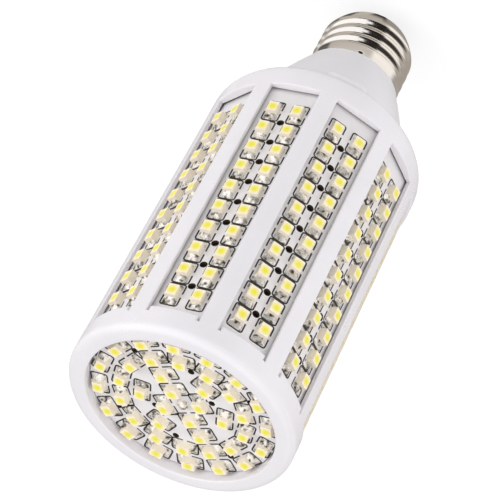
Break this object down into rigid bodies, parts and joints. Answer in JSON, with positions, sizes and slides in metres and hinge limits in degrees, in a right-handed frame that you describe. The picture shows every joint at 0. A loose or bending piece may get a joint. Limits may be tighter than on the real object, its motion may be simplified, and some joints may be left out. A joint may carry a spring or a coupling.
{
  "type": "corn led bulb",
  "caption": "Cylindrical corn LED bulb: a white windowed cage round flat LED strips, a round LED board at the front, a conical collar and a nickel screw base.",
  "frame": {"origin": "centre of the contact at the tip of the screw base", "axes": "+Z along the bulb's axis, from the contact to the lit front end; +X through the middle of the first strip"},
  "size_m": [0.0592, 0.0592, 0.1487],
  "materials": {
    "white_plastic": "smooth moulded white",
    "collar_plastic": "satin moulded white",
    "nickel_plate": "bright nickel plating on pressed sheet",
    "contact_metal": "plain tinned metal",
    "black_glass": "fused black glass",
    "white_board": "white solder mask",
    "led_package": "cream moulding with a yellow phosphor disc",
    "solder": "bright tin",
    "driver_laminate": "green solder mask",
    "film_case": "dipped resin",
    "resistor_body": "moulded resin",
    "capacitor_can": "sleeved aluminium",
    "wire_sleeve": "insulated wire"
  },
  "bodies": {
    "root": {"bleed_resistor": "resistor_body", "bridge_rectifier": "resistor_body", "cage_housing": "white_plastic", "centre_contact": "contact_metal", "centre_solder": "solder", "contact_insulator": "black_glass", "driver_board": "driver_laminate", "end_board": "white_board", "end_feed_wires": "wire_sleeve", "end_leds": "led_package", "film_capacitor": "film_case", "front_ring": "white_plastic", "live_wire": "wire_sleeve", "neck_collar": "collar_plastic", "neutral_wire": "wire_sleeve", "screw_shell": "nickel_plate", "smoothing_capacitor": "capacitor_can", "strip_board_01": "white_board", "strip_board_02": "white_board", "strip_board_03": "white_board", "strip_board_04": "white_board", "strip_board_05": "white_board", "strip_board_06": "white_board", "strip_board_07": "white_board", "strip_board_08": "white_board", "strip_board_09": "white_board", "strip_board_10": "white_board", "strip_feed_wires": "wire_sleeve", "strip_leds_01": "led_package", "strip_leds_02": "led_package", "strip_leds_03": "led_package", "strip_leds_04": "led_package", "strip_leds_05": "led_package", "strip_leds_06": "led_package", "strip_leds_07": "led_package", "strip_leds_08": "led_package", "strip_leds_09": "led_package", "strip_leds_10": "led_package", "strip_links": "solder"}
  },
  "joints": []
}
